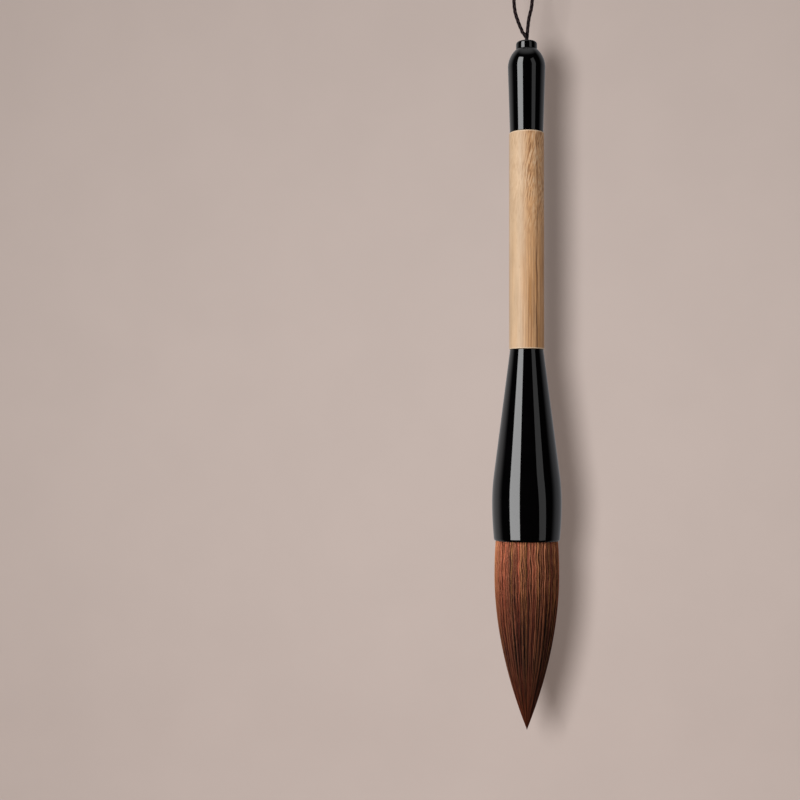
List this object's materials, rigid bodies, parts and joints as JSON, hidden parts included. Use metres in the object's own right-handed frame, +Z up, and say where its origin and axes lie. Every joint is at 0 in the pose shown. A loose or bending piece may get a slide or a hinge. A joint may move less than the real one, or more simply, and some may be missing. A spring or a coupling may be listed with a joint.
{
  "type": "calligraphy brush",
  "caption": "Large calligraphy brush with a lacquered cap and flared ferrule, a bare wood grip, a pointed brown hair tuft and a hanging cord loop.",
  "frame": {"origin": "inner top of the cord loop, where a peg holds the hanging brush", "axes": "+Z up along the brush from the hair's tip to the loop, +X across the loop, +Y through the loop away from the viewer"},
  "size_m": [0.0264, 0.0264, 0.3274],
  "materials": {
    "lacquer": "polished black lacquer",
    "grip_wood": "smooth, lightly waxed",
    "cord": "braided waxed thread",
    "hair": "combed animal hair",
    "thread": "plain linen thread",
    "resin": "hardened rosin",
    "glue": "dried glue"
  },
  "bodies": {
    "loop": {"hang_loop": "cord"},
    "handle": {"tail_knob": "lacquer", "tail_cap": "lacquer", "shaft": "grip_wood", "ferrule": "lacquer", "cord_neck": "cord", "cord_knot": "cord", "hair_root": "hair", "binding_thread": "thread", "resin_seal": "resin", "socket_glue": "glue"},
    "tuft": {"cover_hair": "hair", "padding_hair": "hair", "core_hair": "hair", "tip_hair": "hair"}
  },
  "joints": [
    {"name": "handle_swing", "type": "hinge", "parent": "loop", "child": "handle", "pos_m": [0, 0, -0.058], "axis": [1, 0, 0], "range_deg": [-75, 75]},
    {"name": "tuft_bend", "type": "hinge", "parent": "handle", "child": "tuft", "pos_m": [0, 0, -0.27], "axis": [0, 1, 0], "range_deg": [-45, 45], "stiffness_Nm_per_rad": 0.02}
  ]
}
